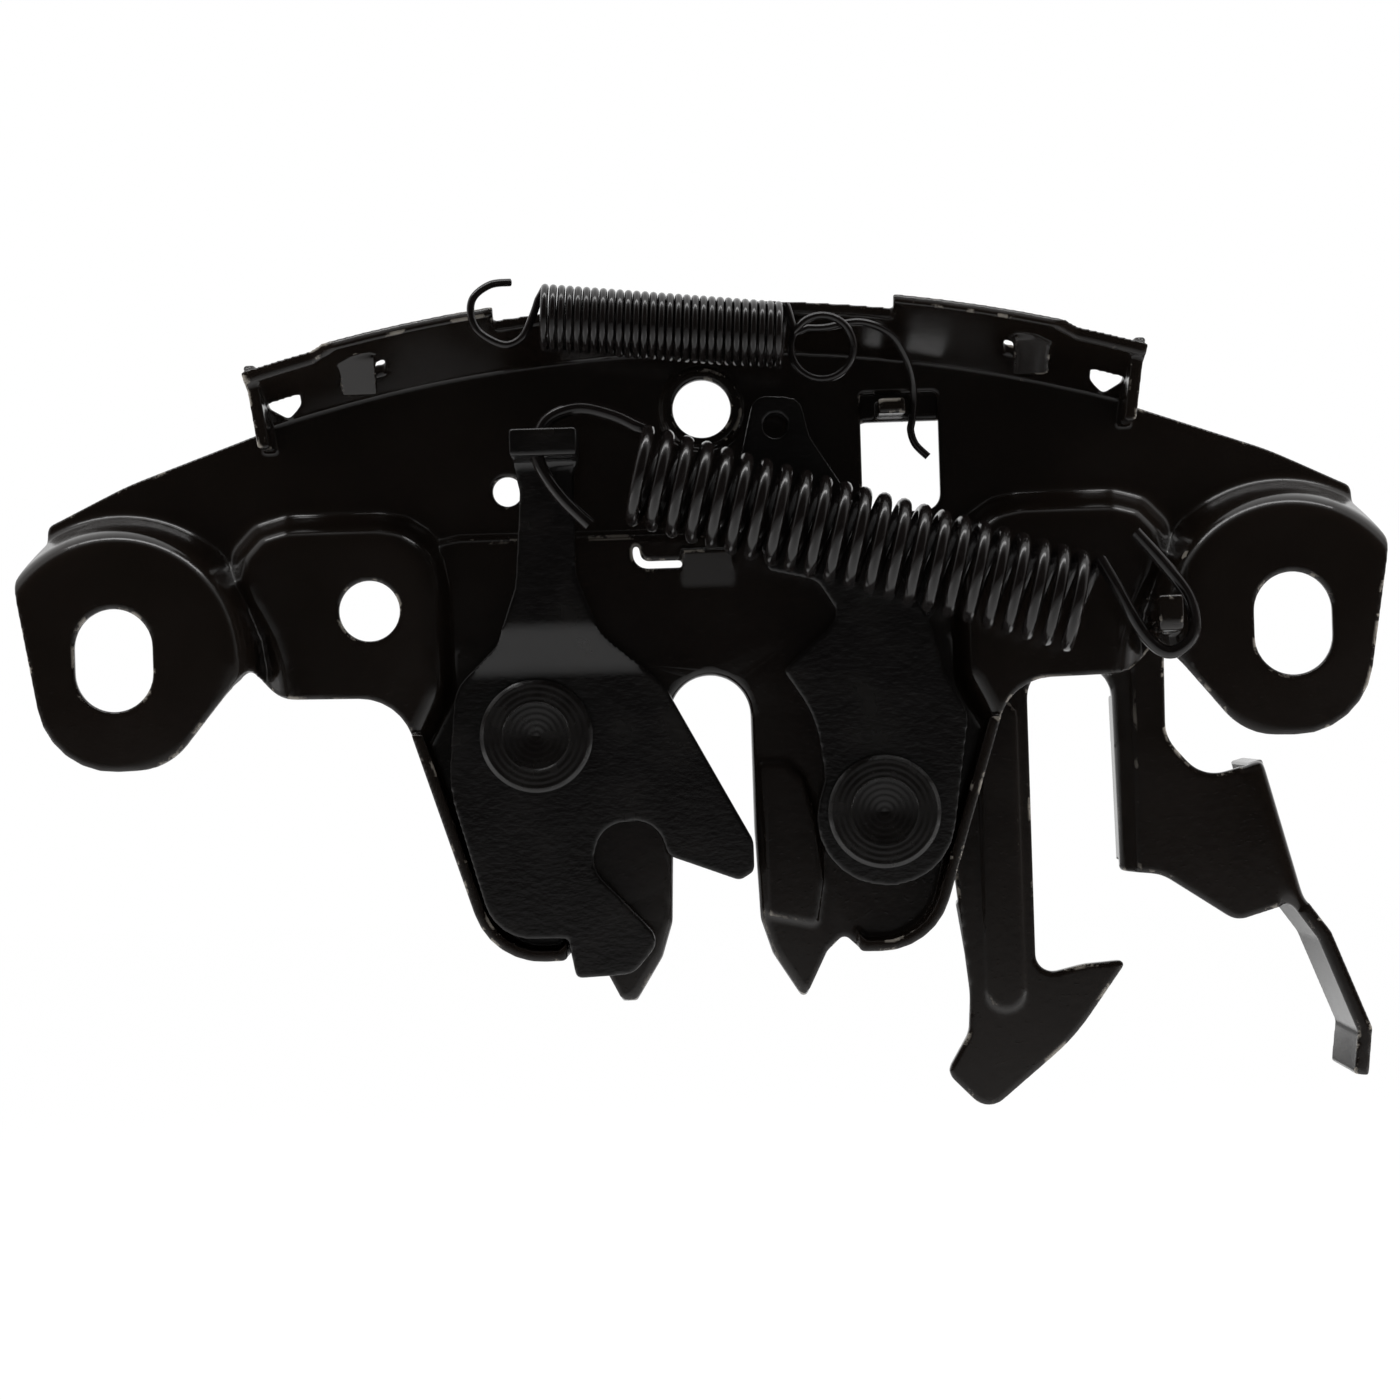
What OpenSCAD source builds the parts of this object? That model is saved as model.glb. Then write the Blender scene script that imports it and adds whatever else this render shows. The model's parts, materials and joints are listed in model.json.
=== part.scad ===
// Bonnet latch: a pressed steel plate that carries a striker fork, a locking pawl,
// a safety catch and their return springs.
// X runs across the car, Z up and Y away from the side that carries the mechanism.
// The origin is midway between the two mounting slots, on the back face of the ear pads.

/* [Plate] */
// Thickness of the pressed sheet
sheet_t = 2; // [1.5:0.1:2.5]
// Distance from the middle of the plate to a mounting slot
slot_x = 106; // [104:0.5:110]
// Width of a mounting slot
slot_w = 14; // [10:0.5:16]
// Height of a mounting slot
slot_h = 18.5; // [17:0.5:22]
// Radius of the flat ear pad round a slot
ear_r = 19.3; // [18:0.1:20.5]
// Front radius of the bend round an ear pad
ear_bend = 4.2; // [3:0.1:5]
// Front radius of the bend round a hole pad
pad_bend = 3.4; // [2.6:0.1:4]
// Front radius of the bend round the fork floor
floor_bend = 2.2; // [2.1:0.1:2.4]
// Front radius at the foot of a pressed wall
foot_bend = 2.6; // [1.5:0.1:3]
// Front radius at the foot of the fork floor's low wall
floor_foot = 1.6; // [1:0.1:1.8]
// Depth from the ear pads' front face back to the hole pads
pad_step = 7; // [6:0.5:9]
// Depth from the ear pads' front face back to the fork floor
floor_step = 12; // [11.5:0.5:13]
// Depth from the ear pads' front face back to the upper panel and the wings
panel_step = 14; // [13.5:0.5:15]
// Sideways run of a pressed wall for each millimetre of its depth
wall_slope = 0.5; // [0.4:0.05:0.6]
// Sideways run of an ear's wall for each millimetre of its depth
ear_slope = 0.25; // [0.15:0.05:0.4]
// Radius of the panel's arched top edge
arch_r = 278; // [270:1:290]
// Height of the arched top edge in the middle
arch_z = 55; // [54:0.5:58]
// Reach of the deep parts of the top flange along its own slope
flange_reach = 17.7; // [14:0.1:20]
// Reach of the shallow middle of the top flange
flange_mid_reach = 12.5; // [9:0.1:13.5]
// Lean of the top flange, from square to the panel
flange_lean = 32; // [20:1:40]
// Half the length of the shallow middle of the top flange
flange_mid_x = 36; // [30:0.5:40]
// Distance from the middle to where the top flange's ends are cut back
flange_end_x = 67; // [62:0.5:70]
// Depth of the cut at the top flange's ends
flange_end_cut = 2; // [1:0.5:4]
// Half the width of the striker slot
mouth_w = 7.4; // [6.5:0.1:8]
// Depth of the rolled rim behind the striker slot
rim_depth = 4; // [2.5:0.5:5]
// Height of the lips along the lower edges, from the floor's back
lip_h = 8; // [5:0.5:9]
// Radius of the round hole in the upper panel
panel_hole_r = 5.3; // [4:0.1:6]
// Radius of the round hole in the left pad
pad_hole_r = 5.5; // [4:0.1:6]

/* [Fork and pawl] */
// Thickness of the fork and the pawl
jaw_t = 5; // [4:0.25:5.5]
// Thickness of the spacer washers under the fork and the pawl
washer_t = 1.65; // [1.55:0.05:1.8]
// Axial play on each side of a turning piece
play = 0.15; // [0.1:0.05:0.25]
// Radius of a pivot rivet's shank
pivot_r = 5; // [4:0.25:6]
// Radial clearance of a pivot
pivot_gap = 0.05; // [0.03:0.01:0.1]
// Radius of a pivot rivet's head
head_r = 10.2; // [9:0.1:10.8]
// Thickness of a pivot rivet's head
head_t = 2.4; // [1.8:0.1:3]
// Forward set of the fork's arm, clear of the left pad
arm_set = 3.8; // [3.6:0.1:4.5]
// Turn of the pawl from locked to just clear of the fork
pawl_lift = 9.2; // [8.8:0.1:10]

/* [Safety catch] */
// Thickness of the safety catch
catch_t = 2.8; // [2:0.1:3.2]
// Gap between the panel's back and the safety catch
catch_gap = 0.8; // [0.5:0.1:1.5]
// Depth of the finger tab behind the catch's front face
finger_depth = 26; // [18:1:34]
// Depth of the stiffening flanges behind the catch's front face
catch_flange = 7; // [5:0.5:10]

/* [Springs] */
// Wire of the fork spring
fork_wire = 2.4; // [2:0.1:2.6]
// Outside diameter of the fork spring
fork_coil_d = 18.5; // [17:0.1:19]
// Turns of the fork spring
fork_turns = 23; // [18:1:25]
// Wire of the catch spring
catch_wire = 1.4; // [1.2:0.1:1.5]
// Outside diameter of the catch spring
catch_coil_d = 12.2; // [11:0.1:12.4]
// Turns of the catch spring
catch_turns = 29; // [24:1:30]
// Wire of the pawl spring
pawl_wire = 1.2; // [1:0.1:1.3]

/* [Hidden] */
$fn = 64;
paint = [0.06, 0.055, 0.05];
spring_black = [0.1, 0.1, 0.1];

// Front faces of the plate's levels, from the viewer's side backwards
ear_y = -sheet_t;
pad_y = ear_y + pad_step;
floor_y = ear_y + floor_step;
panel_y = ear_y + panel_step;
back_y = panel_y + sheet_t;
past = 1;
sink = 0.4;

// The moving pieces' levels
jaw_back_y = floor_y - washer_t - play;
jaw_y = jaw_back_y - jaw_t;
arm_y = jaw_y - arm_set;
catch_y = back_y + catch_gap;
catch_back_y = catch_y + catch_t;

// Pivots, as [x, z]
fork_pivot = [-30.7, -16];
pawl_pivot = [31.7, -31.6];
catch_pivot = [35.9, 8];

// Catch tab in its window
tab_x = [33, 37.8];
tab_top = 43.1;
tab_front_y = 3;

function unit(v) = v / norm(v);
function flat(c) = [c.x, c.y];
function before(c, i) = flat(c[(i + len(c) - 1) % len(c)]);
function after(c, i) = flat(c[(i + 1) % len(c)]);
function flipped(c) = [for (i = [len(c) - 1:-1:0]) [-c[i].x, c[i].y, c[i][2]]];

// A corner q of radius r between its neighbours p and s, as an arc of n steps
function arc_corner(p, q, s, r, n) =
    r == 0 ? [q] :
    let (a = unit(p - q), b = unit(s - q), half = acos(a * b) / 2, turn = 180 - 2 * half,
        c = q + unit(a + b) * r / sin(half),
        u = q + a * r / tan(half) - c, v = q + b * r / tan(half) - c)
    [for (k = [0:n]) c + (sin(turn * (1 - k / n)) * u + sin(turn * k / n) * v) / sin(turn)];

// Points of an outline given as [x, z, corner radius]
function outline(c, n = 6) =
    [for (i = [0:len(c) - 1]) each arc_corner(before(c, i), flat(c[i]), after(c, i), c[i][2], n)];

// The same corners moved outwards by d, for corners that run counter-clockwise
function grown(c, d) =
    [for (i = [0:len(c) - 1])
        let (p = before(c, i), q = flat(c[i]), s = after(c, i), e = unit(q - p), f = unit(s - q),
            m = [e.y, -e.x], n = [f.y, -f.x], bulges = e.x * f.y - e.y * f.x > 0,
            to = q + d * (m + n) / (1 + m * n))
        [to.x, to.y, c[i][2] == 0 ? 0 : max(0.2, c[i][2] + (bulges ? d : -d))]];

// A flat piece in the X-Z plane between two depths
module sheet(points, y0, y1)
    translate([0, y1, 0]) rotate([90, 0, 0]) linear_extrude(y1 - y0) polygon(points);

// A round piece along Y, of radius r_front at y0 and r_back at y1
module round_y(at, y0, y1, r_front, r_back)
    translate([at.x, y1, at.y]) rotate([90, 0, 0]) cylinder(r1 = r_back, r2 = r_front, h = y1 - y0);

// A side profile in the Y-Z plane, extruded along X
module profile_x(points, x0, x1)
    translate([x0, 0, 0]) rotate([90, 0, 90]) linear_extrude(x1 - x0) polygon(points);

// A turned piece about an axis along Y, from [radius, y] points
module turned_y(at, points)
    translate([at.x, 0, at.y]) rotate([90, 0, 0])
        rotate_extrude() polygon([for (p = points) [p.x, -p.y]]);

// A bend as [run, y] points: from a flat at y0, round r1, down a sloping wall, round r2 to a flat at y1,
// and on into the sheet as far as the depth sunk
function bend(start, y0, y1, r1, r2, slope, n) =
    let (turn = 90 - atan(slope), step = turn / n, straight = y1 - y0 - (r1 + r2) * (1 - cos(turn)),
        end = start + (r1 + r2) * sin(turn) + slope * straight,
        foot = [for (k = [n:-1:1]) [end - r2 * sin(k * step), y1 - r2 * (1 - cos(k * step))]],
        last = foot[n - 1])
    concat([for (k = [0:n]) [start + r1 * sin(k * step), y0 + r1 * (1 - cos(k * step))]], foot,
        [last + (y1 + sink - last.y) / (y1 - last.y) * ([end, y1] - last)]);

// A pressed form: an outline carried along [run, y] points, all of it in sight of its first corner
module formed(c, path) {
    rings = [for (p = path) outline(grown(c, p.x), 4)];
    n = len(rings[0]);
    last = len(path) - 1;
    polyhedron(
        [for (k = [0:last]) for (q = rings[k]) [q.x, path[k].y, q.y]],
        [[0, for (i = [n - 1:-1:1]) i], [for (i = [0:n - 1]) last * n + i],
            for (k = [0:last - 1]) for (i = [0:n - 1])
                let (a = k * n + i, b = k * n + (i + 1) % n) each [[a, b, b + n], [a, b + n, a + n]]]);
}

// Round wire of radius r swept along points, its frame carried on from ring to ring
module wire(points, r, sides = 6) {
    last = len(points) - 1;
    along = [for (i = [0:last]) unit(points[min(i + 1, last)] - points[max(i - 1, 0)])];
    start = unit(cross(along[0], [0.3, 0.5, 0.8]));
    normals = [for (i = 0, n = start; i <= last;
        i = i + 1, n = i <= last ? unit(n - (n * along[i]) * along[i]) : n) n];
    rings = [for (i = [0:last]) for (k = [0:sides - 1])
        points[i] + r * (cos(360 * k / sides) * normals[i]
            + sin(360 * k / sides) * cross(along[i], normals[i]))];
    polyhedron(rings,
        [[for (k = [0:sides - 1]) k], [for (k = [sides - 1:-1:0]) last * sides + k],
            for (i = [0:last - 1]) for (k = [0:sides - 1])
                let (a = i * sides + k, b = i * sides + (k + 1) % sides)
                each [[a, a + sides, b + sides], [a, b + sides, b]]]);
}

// Points of a coil about the line from a to b, starting at angle start from the Z side
function coil(a, b, r, turns, steps, start) =
    let (w = unit(b - a), u = unit([0, 0, 1] - w.z * w), v = cross(w, u))
    [for (i = [0:turns * steps]) let (t = start + 360 * i / steps)
        a + (b - a) * i / (turns * steps) + r * (cos(t) * u + sin(t) * v)];

// A smooth curve through hand-set places, each leg cut into three
function eased(points) =
    [for (i = [0:len(points) - 2]) each
        [for (f = [0, 1 / 3, 2 / 3])
            let (p = points[max(i - 1, 0)], q = points[i], s = points[i + 1],
                e = points[min(i + 2, len(points) - 1)])
            0.5 * (2 * q + f * (s - p) + f * f * (2 * p - 5 * q + 4 * s - e)
                + f * f * f * (3 * q - p - 3 * s + e))],
        points[len(points) - 1]];

// The plate's own outline, right half counter-clockwise from the striker slot's lobe
arch_centre_z = arch_z - arch_r;
side_x = 79.5;
arch_half = asin(side_x / arch_r);
arch_steps = 16;
right_edge = [
    [16.8, -65, 0.6], [20.8, -57, 1], [24, -54, 1.2], [27, -56.9, 0.8], [40.1, -57.2, 13],
    [55.6, -8.4, 10], [slot_x - 27.7, -8, 8], [slot_x - 23.6, -2.2, 0.8], [slot_x - 9.2, -19.8, 12],
    [slot_x + 12, -20.4, 14], [slot_x + 17.8, 14.6, 3], [slot_x + 13.4, 21.5, 1],
    [slot_x + 13.4, 25, 1.5], [slot_x - 1.4, 32.1, 60], [side_x, 41, 1]];
arch_points = [for (i = [0:arch_steps]) let (a = arch_half * (1 - 2 * i / arch_steps))
    [arch_r * sin(a), arch_centre_z + arch_r * cos(a), 0]];
plate_edge = concat(right_edge, arch_points, flipped(right_edge));

// The striker slot, open at the bottom
mouth_x = 0.8;
mouth_z = -13.4;
mouth_flare = [[mouth_w, -34], [mouth_w + 0.7, -50.9], [mouth_w + 2.7, -57.2], [mouth_w + 7.2, -64.4],
    [mouth_w + 10, -68]];
mouth_edge = concat(
    [for (p = mouth_flare) [mouth_x + p.x, p.y, 0]],
    [for (a = [0:10:180]) [mouth_x + mouth_w * cos(a), mouth_z + mouth_w * sin(a), 0]],
    [for (i = [0:4]) [mouth_x - mouth_flare[i].x, mouth_flare[i].y, 0]]);
mouth_loop = concat([for (i = [4:-1:0]) mouth_edge[i]], [for (i = [5:28]) mouth_edge[i]]);

// The raised hole pads, each hollowed round its ear
pad_in = 50.4;
pad_top = 20;
pad_field = [[pad_in, pad_top, 8], [pad_in, -7, 4], [pad_in + 14, -34, 0], [slot_x - 28, -34, 0],
    [slot_x - 33.5, -1, 30], [slot_x - 19.5, pad_top, 6]];

// The fork floor between the hole pads
floor_top = 18.6;
floor_field = [[-pad_in, -72, 0], [pad_in, -72, 0], [pad_in, floor_top, 6], [-pad_in, floor_top, 6]];

window = [[30, 23, 3], [44.2, 23, 3], [44.2, 44.6, 1], [30, 44.6, 1]];
lance_slit = [[-12.4, 13.9, 2.6], [-3.4, 13.9, 0.3], [-3.4, 15.2, 0.3], [-10.9, 15.2, 1.6], [-11.3, 18, 0.3],
    [-12.4, 18, 0.3]];
tongue_x = [-3.5, 5.9];
tongue_z = [7.4, 17];
tongue_lift = 0.9;
land_x = mouth_x + mouth_w + 1.4;
lobe_land = [[land_x, -22.3, 0.4], [land_x, -50, 0.4], [19, -52, 1], [20.4, -44, 3], [19.6, -33, 6],
    [17.4, -25.2, 3], [14.4, -22.3, 2]];
land_lift = 0.7;
panel_hole = [1, 42.8];
pad_hole = [-60.4, 7.6];
small_hole = [-35, 28.8];
small_hole_r = 2.7;
corner_hole = [[77.8, 48.4, 0], [72, 48.4, 0], [72, 45.6, 1.4], [74.6, 43.4, 0.6], [77.8, 45.2, 0.6]];
anchor = [slot_x - 23, 1.3];
side_flange = [[77, 37.4, 0.4], [79.2, 37.4, 0.4], [81.4, 52.4, 0.4], [79.2, 52.4, 0.4]];
side_flange_y = 0.6;

module both_sides() {
    children();
    mirror([1, 0, 0]) children();
}

module slot_hole(x) {
    straight = (slot_h - slot_w) / 2;
    for (z = [-straight, straight]) round_y([x, z], ear_y - past, past, slot_w / 2, slot_w / 2);
    translate([x - slot_w / 2, ear_y - past, -straight]) cube([slot_w, sheet_t + 2 * past, 2 * straight]);
}

// The pressed levels as solid forms, at the sheet's front face for t = 0 and at its back for t = sheet_t
module levels(t) {
    formed(floor_field, bend(0, floor_y + t, panel_y + t, floor_bend - t, floor_foot + t, wall_slope, 3));
    both_sides()
        formed(pad_field, bend(0, pad_y + t, panel_y + t, pad_bend - t, foot_bend + t, wall_slope, 3));
    ear = bend(ear_r, ear_y + t, panel_y + t, ear_bend - t, foot_bend + t, ear_slope, 5);
    for (x = [-slot_x, slot_x])
        turned_y([x, 0], concat([[0, ear_y + t]], ear, [[0, ear[len(ear) - 1].y]]));
}

module pressed_sheet() difference() {
    union() {
        sheet(outline(plate_edge), panel_y, back_y);
        levels(0);
    }
    levels(sheet_t);
}

// The leaning top flange, cut back in the middle and at its ends, with windows where tabs are lanced out
module top_flange() {
    d = [sin(flange_lean), -cos(flange_lean)];
    n = [cos(flange_lean), sin(flange_lean)];
    root = [arch_r - 1.1 * sheet_t, panel_y + 0.35 * sheet_t];
    section = [root, root + flange_reach * d, root + flange_reach * d + sheet_t * n, root + sheet_t * n];
    front_y = root.y + flange_reach * d.y - past;
    mid_y = root.y + flange_mid_reach * d.y;
    end_y = front_y + past + flange_end_cut;
    difference() {
        translate([0, 0, arch_centre_z]) rotate([90, 0, 0]) rotate([0, 0, 90 - arch_half])
            rotate_extrude(angle = 2 * arch_half, $fn = 180) polygon([for (p = section) [p.x, -p.y]]);
        translate([-flange_mid_x, front_y, arch_z - 20])
            cube([2 * flange_mid_x, mid_y - front_y, 40]);
        both_sides() translate([0, 0, arch_z - 20]) linear_extrude(40)
            polygon([[flange_end_x - 5, front_y], [flange_end_x + 2, end_y], [2 * side_x, end_y],
                [2 * side_x, front_y]]);
        both_sides() translate([tab_mid_x - tab_w / 2 - 1.6, tab_root_y + 0.3, arch_z - 20])
            cube([tab_w + 2, 3.4, 40]);
    }
}

// Lips bent forward along the lower edges, and the rolled rim behind the striker slot
module lips() intersection() {
    difference() {
        sheet(outline(plate_edge), floor_y + sheet_t - lip_h, floor_y + sheet_t / 2);
        sheet(outline(grown(plate_edge, -sheet_t)), floor_y - lip_h, floor_y + lip_h);
    }
    both_sides() translate([26.4, -10, -60]) cube([30, 30, 45]);
}

module mouth_rim() intersection() {
    sheet(outline(grown(mouth_loop, sheet_t)), floor_y + sheet_t / 2, floor_y + sheet_t + rim_depth);
    sheet(outline(plate_edge), floor_y, back_y + rim_depth);
}

// A tab lanced from the top flange and bent down over the panel
tab_mid_x = 61;
tab_root_y = 3.5;
tab_w = 6.6;
module lanced_tab()
    translate([tab_mid_x, tab_root_y, 52.6]) rotate([38, 0, 0]) translate([-tab_w / 2, -sheet_t * 0.8, -6.5])
        cube([tab_w, sheet_t * 0.8, 8.5]);

// The tongue above the striker slot, lanced up at its top, and the low land beside the slot
module tongue() profile_x([[floor_y + sink, tongue_z[0]], [floor_y - tongue_lift, tongue_z[1] - 0.4],
    [floor_y - tongue_lift, tongue_z[1]], [floor_y + sink, tongue_z[1]]], tongue_x[0], tongue_x[1]);

module slot_land() sheet(outline(lobe_land), floor_y - land_lift, floor_y + sink);

// The hook that holds the outer end of the fork spring
module spring_anchor() profile_x(outline([[0.6, -0.2, 0], [-9.6, -0.2, 0.5], [-9.6, 4.4, 0.8],
    [-11.6, 4.4, 0.8], [-11.6, -2.2, 2], [0.6, -2.2, 0]]), anchor.x - 2.2, anchor.x + 2.2);

module main_plate() color(paint) difference() {
    union() {
        intersection() {
            pressed_sheet();
            sheet(outline(plate_edge), ear_y - past, back_y + past);
        }
        top_flange();
        lips();
        mouth_rim();
        both_sides() lanced_tab();
        both_sides() sheet(outline(side_flange), side_flange_y, panel_y + sink);
        tongue();
        slot_land();
        round_y(panel_hole, panel_y - 1, panel_y + past, 7.3, 8.1);
        translate([0, 0, anchor.y]) spring_anchor();
    }
    for (x = [-slot_x, slot_x]) slot_hole(x);
    sheet(outline(mouth_loop), floor_y - past, back_y + rim_depth + past);
    sheet(outline(window), floor_y - past, back_y + past);
    sheet(outline(lance_slit), floor_y - past, back_y + past);
    round_y(panel_hole, panel_y - 2 * past, back_y + past, panel_hole_r, panel_hole_r);
    round_y(pad_hole, pad_y - past, pad_y + sheet_t + past, pad_hole_r, pad_hole_r);
    round_y(small_hole, panel_y - past, back_y + past, small_hole_r, small_hole_r);
    for (p = [fork_pivot, pawl_pivot, catch_pivot])
        round_y(p, floor_y - past, floor_y + sheet_t + past, pivot_r, pivot_r);
    both_sides() sheet(outline(corner_hole), pad_y + 1.5, back_y + past);
}

// Fork outline, counter-clockwise from the shoulder left of the pivot
fork_edge = [[-45.3, -7, 8], [-46.9, -25, 25], [-39.3, -52.6, 9], [-26.2, -52.9, 0.6],
    [-24.9, -60.1, 1.2], [-14.6, -59.6, 4], [-9.3, -53.6, 3.2], [-21.6, -40.2, 5],
    [-19.6, -32.5, 5.4], [-9.6, -31.6, 5.4], [-7.6, -38.4, 2], [5.2, -43.3, 1.4], [7.9, -41.7, 1.6],
    [7.9, -36.2, 3], [-7.4, -7.4, 9], [-18.6, 2.4, 7], [-22.7, 13, 8], [-22.4, 31, 1],
    [-21.4, 33.6, 0.5], [-21.4, 39.2, 1], [-33.4, 39.2, 1], [-33.4, 33.6, 0.5], [-32.2, 28, 3],
    [-33.6, 11, 10], [-37.4, 0.4, 6]];
arm_bend_z = [-4.4, 3.6];
hook_z = [33.7, 38.7];
hook_front_y = -12;
hook_hole = [-28.4, -7.5];
hook_play = 1.1;

// Side profile of the fork: flat body, arm set forward, hook tab bent to the front
fork_profile = [[jaw_back_y, -70, 0], [jaw_back_y, arm_bend_z[0], 5], [arm_y + jaw_t, arm_bend_z[1], 5],
    [arm_y + jaw_t, hook_z[1], 5], [hook_front_y, hook_z[1], 0.6], [hook_front_y, hook_z[0], 0.6],
    [arm_y, hook_z[0], 2], [arm_y, arm_bend_z[1], 5], [jaw_y, arm_bend_z[0], 5], [jaw_y, -70, 0]];

module fork() color(paint) difference() {
    intersection() {
        sheet(outline(fork_edge), hook_front_y - past, jaw_back_y + past);
        profile_x(outline(fork_profile), -60, 20);
    }
    round_y(fork_pivot, jaw_y - past, jaw_back_y + past, pivot_r + pivot_gap, pivot_r + pivot_gap);
    translate([hook_hole.x, hook_hole.y, hook_z[0] - past])
        cylinder(r = fork_wire / 2 + hook_play, h = hook_z[1] - hook_z[0] + 2 * past);
}

// Pawl outline in its locked position, counter-clockwise from the nose
pawl_edge = [[10.3, -8.6, 0.9], [17.2, -16.2, 20], [20.4, -27, 3], [17.8, -45, 12.2], [45, -45, 12.2],
    [44.6, -12, 6], [39.2, -5, 6], [35.4, 4, 12], [9.6, 34, 6], [7, 40.6, 3], [-1.4, 40.2, 3],
    [-2.6, 25, 10], [5.4, 8.9, 1], [14.2, 8.3, 4], [19.4, 2.4, 3]];
cable_hole = [3.2, 35];
cable_hole_r = 2.2;

module pawl() color(paint)
    translate([pawl_pivot.x, 0, pawl_pivot.y]) rotate([0, pawl_lift, 0])
        translate([-pawl_pivot.x, 0, -pawl_pivot.y]) difference() {
            sheet(outline(pawl_edge), jaw_y, jaw_back_y);
            round_y(pawl_pivot, jaw_y - past, jaw_back_y + past, pivot_r + pivot_gap, pivot_r + pivot_gap);
            round_y(cable_hole, jaw_y - past, jaw_back_y + past, cable_hole_r, cable_hole_r);
        }

// A stepped rivet: ringed head in front, shank, and a tail peened over behind the plate
module jaw_rivet(at) {
    seat_y = jaw_y - play;
    face_y = seat_y - head_t;
    tail_y = floor_y + sheet_t;
    turned_y(at, [[0, face_y + 0.9], [pivot_r + 0.9, face_y + 0.35], [pivot_r + 1.2, face_y],
        [head_r - 0.7, face_y], [head_r, face_y + 0.7], [head_r, seat_y], [pivot_r, seat_y],
        [pivot_r, tail_y], [pivot_r + 2.4, tail_y], [pivot_r + 1.8, tail_y + 1.6], [0, tail_y + 1.6]]);
}

module spacer(at, r, y0, y1) {
    bore = pivot_r + pivot_gap;
    turned_y(at, [[bore, y0], [r, y0], [r, y1], [bore, y1]]);
}

module fork_rivet() color(paint) jaw_rivet(fork_pivot);
module pawl_rivet() color(paint) jaw_rivet(pawl_pivot);
module fork_washer() color(paint) spacer(fork_pivot, 9, floor_y - washer_t, floor_y);
module pawl_washer() color(paint) spacer(pawl_pivot, pivot_r + 1.4, floor_y - washer_t, floor_y);
module catch_washer() color(paint) spacer(catch_pivot, head_r - 1.2, floor_y + sheet_t, catch_y - play);

module catch_rivet() color(paint) {
    front_y = floor_y - 1.3;
    seat_y = catch_back_y + play;
    turned_y(catch_pivot, [[0, front_y], [pivot_r + 1.6, front_y], [pivot_r + 2.4, floor_y],
        [pivot_r, floor_y], [pivot_r, seat_y], [head_r - 1, seat_y], [head_r - 1, seat_y + 1.2],
        [head_r - 2, seat_y + 2], [0, seat_y + 2]]);
}

// Safety catch: one plate behind the main one, with a hook leg and a finger handle
finger_path = [[99.6, -25.3], [106.4, -51.2], [111.2, -57.9], [118, -75.2], [117, -83]];
catch_edge = [[44.8, -44, 4], [47, -66, 20], [46.6, -73, 6], [42.2, -80.4, 2.4], [49.6, -88, 4],
    [66, -74.6, 40], [76.2, -60.6, 0.8], [68, -61.2, 12], [59.2, -63.2, 3.2], [59.2, -6, 6],
    [75, -6, 6], [75.6, -44.4, 0.8], [83, -45.2, 8], [96.4, -54.2, 4], [107.4, -51, 0.4],
    [100.9, -25.1, 0.4], [91, -27.8, 7], [84.4, -20, 7], [84.8, 9, 6], [60, 14, 12], [46, 20.5, 6],
    [29.6, 21, 3], [29, tab_top - 3.5, 2], [45.6, tab_top - 3.5, 1], [45.6, tab_top + 3.3, 3],
    [24.4, tab_top + 3.3, 5], [22.4, 20, 8], [22.6, 3, 9], [35, -9, 12]];
bead_edge = [[50.2, -69, 3.2], [56.8, -69, 3.2], [56.8, -12, 3.2], [50.2, -12, 3.2]];

// A strip of the catch's thickness on the left of a path
function strip(path, t) =
    let (n = len(path), normals = [for (i = [0:n - 1])
        let (d = unit(path[min(i + 1, n - 1)] - path[max(i - 1, 0)])) [-d.y, d.x]])
    concat(path, [for (i = [n - 1:-1:0]) path[i] + t * normals[i]]);

module safety_catch() color(paint) {
    difference() {
        union() {
            sheet(outline(catch_edge), catch_y, catch_back_y);
            formed(bead_edge, [[0, catch_y - 0.6], [0.8, catch_y + 0.6]]);
            sheet(strip(finger_path, catch_t), catch_y, catch_y + finger_depth);
            translate([tab_x[0], tab_front_y, tab_top - catch_t])
                cube([tab_x[1] - tab_x[0], catch_back_y - tab_front_y, catch_t]);
            back_flange([[47.7, -67], [45.1, -49]]);
            back_flange([[75.6, -42.6], [75.1, -12]]);
        }
        round_y(catch_pivot, catch_y - past, catch_back_y + past,
            pivot_r + pivot_gap, pivot_r + pivot_gap);
    }
}

// A stiffening flange folded back along an edge of the catch
module back_flange(path) sheet(strip(path, -sheet_t), catch_y, catch_y + catch_flange);

// Fork spring from the fork's hook tab to the anchor by the right ear, its hooks set from those two places
fork_spring_y = hook_hole.y;
fork_coil_r = (fork_coil_d - fork_wire) / 2;
function at_hook(x, z) = [hook_hole.x + x, fork_spring_y, hook_z[0] + z];
function at_anchor(x, z) = [anchor.x + x, fork_spring_y, anchor.y + z];
fork_coil = coil(at_hook(17.2, -3.5), at_anchor(-14.2, 3), fork_coil_r, fork_turns, 12, 0);
fork_hook = [at_hook(8.8, -12.3), at_hook(4, -7.3), at_hook(0.4, -1.7), at_hook(0, 2.5), at_hook(2, 6.7),
    at_hook(7.4, 8.5), at_hook(13.4, 7.1), at_hook(17.4, 5.1)];
anchor_hook = [at_anchor(-9, 5.7), at_anchor(-4.4, -2.7), at_anchor(0, -5.9), at_anchor(4.2, -2.9),
    at_anchor(3.8, 3.3), at_anchor(0, 9.1), at_anchor(-5.6, 15.7)];

module fork_spring() color(spring_black)
    wire(concat(eased(fork_hook), fork_coil, eased(anchor_hook)), fork_wire / 2);

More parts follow.
